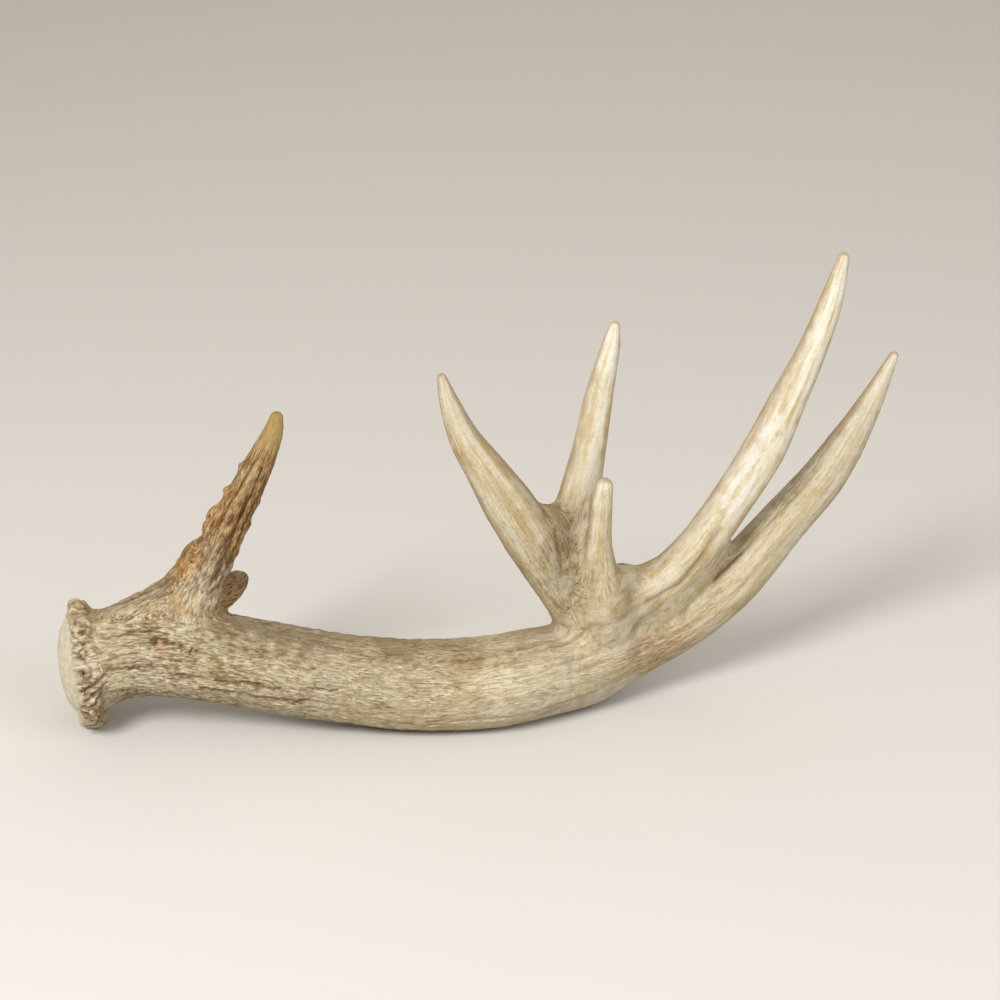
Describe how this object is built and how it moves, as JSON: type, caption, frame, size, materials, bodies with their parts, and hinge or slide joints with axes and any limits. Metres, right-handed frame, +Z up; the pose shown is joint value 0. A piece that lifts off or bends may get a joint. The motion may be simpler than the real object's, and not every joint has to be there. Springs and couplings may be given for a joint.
{
  "type": "deer antler",
  "caption": "Shed whitetail deer antler lying on its side, with a knobbly burr, a curved beam and smooth curved tines.",
  "frame": {"origin": "bottom centre of the antler's box, on the surface that it lies on", "axes": "+X along the beam from the burr to the tip, +Y away from the belly side of the beam, +Z up"},
  "size_m": [0.3439, 0.0851, 0.1903],
  "materials": {
    "beam_bone": "dry antler bone, grey-beige with brown stain in its furrows",
    "tine_bone": "smooth dry antler bone, cream, rubbed pale along the ridges",
    "stained_bone": "pearled antler bone stained orange-brown"
  },
  "bodies": {
    "root": {"main_beam": "beam_bone", "beam_tip": "tine_bone", "third_tine": "tine_bone", "second_tine": "tine_bone", "second_tine_rear": "tine_bone", "short_tine": "tine_bone", "brow_tine": "stained_bone", "brow_kicker": "stained_bone"}
  },
  "joints": []
}
